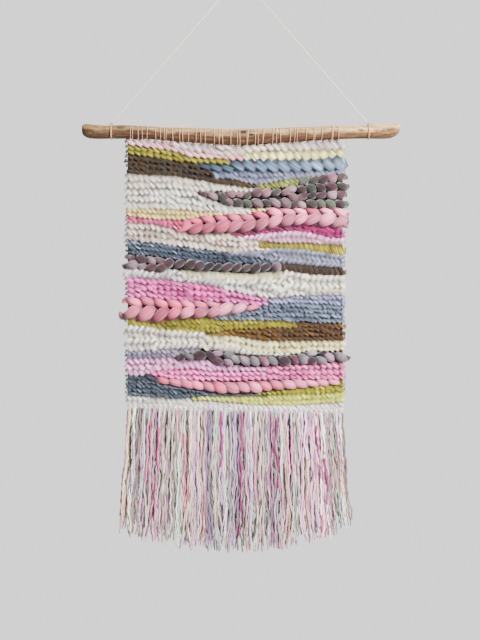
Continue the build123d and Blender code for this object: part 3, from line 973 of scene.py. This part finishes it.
def make_fringe(tassel_list, material, knot_material):
    """Loose crimped strands below every knot: shaded ones inside, lighter ones and accents in front."""
    pieces = []
    knots = Strands()
    steps = FRINGE_POINTS
    t = np.linspace(0, 1, steps)
    gather = np.clip((t - 0.01) / 0.07, 0, 1)
    for section in range(1, 6):
        strands = Strands()
        for group, middle, top, low, end in tassel_list:
            if group != section:
                continue
            distance = (middle - CLOTH_LEFT) / MM
            drift = (end - middle) * t
            drift = drift + wander(steps, 8) * 1.2 * MM * gather + wander(steps, 4) * 2.6 * MM * t
            base_tone = FRINGE_TONES[rng.integers(len(FRINGE_TONES))]
            shade = rng.uniform(0.50, 1.16) * (1 + 0.16 * wander(steps, 5))[:, None]
            plan = [(None, *layer[1:]) for layer in FRINGE_LAYERS for _ in range(layer[0])]
            plan += [(a, *ACCENT_LAYER) for a in FRINGE_ACCENTS if abs(a[0] - distance) < TASSEL_REACH]
            for accent, y, dark, pale, size, full in plan:
                length = (top - low) * full * rng.uniform(0.88, 1.01)
                spread = rng.uniform(-1, 1) * (0.4 if accent else 1)
                phase = 2 * np.pi * (rng.uniform(11, 14) * t + rng.uniform()) + 2 * wander(steps, 8)
                crimp = 0.28 * MM * np.sin(phase)
                crimp += wander(steps, 11) * 1.1 * MM + wander(steps, 5) * 2.2 * MM * t
                path = np.stack([
                    middle + drift + spread * (1.3 + 1.3 * gather + 1.5 * t ** 3) * MM + crimp * gather,
                    (y * (0.3 + 0.7 * gather) + 0.8 * wander(steps, 14) * gather) * MM,
                    top + 2.5 * MM - (length + 2.5 * MM) * t,
                ], -1)
                own_tone = rng.uniform() < 0.35
                tone = base_tone if own_tone else FRINGE_TONES[rng.integers(len(FRINGE_TONES))]
                tint = np.repeat(pigment(tone)[None], steps, 0) * (1 + 0.12 * wander(steps, 16))[:, None]
                tint *= shade * rng.uniform(dark, pale)
                if pale < SHADE_LAYER:
                    tint *= 1 + 1.6 * t[:, None] ** 2
                if accent:
                    inside = ((t >= accent[1]) & (t <= accent[2]))[:, None]
                    tint = np.where(inside, pigment(accent[3]) * rng.uniform(0.85, 1.1), tint)
                taper = (1 - 0.3 * t ** 2) * (1 + 0.12 * wander(steps, 20))
                strands.add(path[None], (size * MM * taper)[None], tint[None], sides=7)
            add_knot(knots, middle, top, base_tone)
        pieces.append((section, strands.build(f"fringe_strands_{section}", material)))
    return pieces, knots.build("fringe_lark_knots", knot_material)


def add_knot(knots, middle, top, tone):
    """A lark's head: two legs down through a bight laid across them, in front and behind."""
    tint = linear(tone)[None, None]
    s = np.linspace(0, np.pi, 14)
    bight = np.stack([
        middle + 2.3 * MM * np.cos(s),
        -2.0 * MM * np.sin(s) - 0.3 * MM,
        top + 3.4 * MM + 0.5 * MM * np.sin(s),
    ], -1)
    for rise in (0, 1.2 * MM):
        for way, shade in ((1, 0.98), (-1, 0.95)):
            path = bight * np.array([1, way, 1]) + np.array([0, 0, rise])
            knots.add(path[None], 0.75 * MM, np.repeat(tint * shade, len(s), 1), sides=6)
    d = np.linspace(0, 1, 12)
    for side in (-1, 1):
        leg = np.stack([
            middle + side * (1.6 - 0.6 * d) * MM,
            -0.9 * MM * np.sin(np.pi * d),
            top + (7.0 - 8.0 * d) * MM,
        ], -1)
        knots.add(leg[None], 0.8 * MM, np.repeat(tint, len(d), 1), sides=6)


# ---- assembly ----
make_camera()
make_surroundings()
wool = fibre_material("plied_wool", 0.88, 0.35, 1500, 0.5)
roving = fibre_material("soft_roving", 0.92, 0.5, 1100, 0.35, 0.1)
cotton = fibre_material("cotton_thread", 0.85, 0.2, 2200, 0.4)
string_material = twine_material(STRING_TONE)

string = make_string(string_material)
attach(string, "hanger")
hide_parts("hanging_cord")

tree, low, high = branch_tools()
stick = make_branch(tree, low, high, wood_material())
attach(stick, "branch")
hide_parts("branch")

loops = make_loops(tree, cotton)
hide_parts("warp_loops")
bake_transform(loops)

for side, node in ((-1, "left_tie"), (1, "right_tie")):
    tie = make_tie(side, tree, cotton)
    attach(tie, "hanger")
    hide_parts(node)

bands = {name: Band(name, TOP_ROW_LIFT.get(name, 0)) for name in BANDS}
for name, (kind, lean, tones, flecks) in BANDS.items():
    strands = Strands()
    if isinstance(kind, Roving):
        lay_roving(strands, bands[name], kind, lean, tones, flecks)
        material = roving
    else:
        lay_rows(strands, bands[name], kind, lean, tones, flecks)
        material = wool
    piece = strands.build(name + "_yarn", material)
    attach(piece, "weaving")
    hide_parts(name)

ground = make_painted_shade_ground(bands, cotton)
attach(ground, "weaving")
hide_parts("warp_threads")

fringe_pieces, knots = make_fringe(tassels(), cotton, cotton)
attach(knots, "weaving")
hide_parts("fringe_knots")
for section, piece in fringe_pieces:
    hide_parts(f"fringe_{section}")
    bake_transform(piece)

total = sum(len(o.data.polygons) * 2 for o in bpy.data.objects if o.type == "MESH" and not o.hide_render)
print("triangles, about", total)
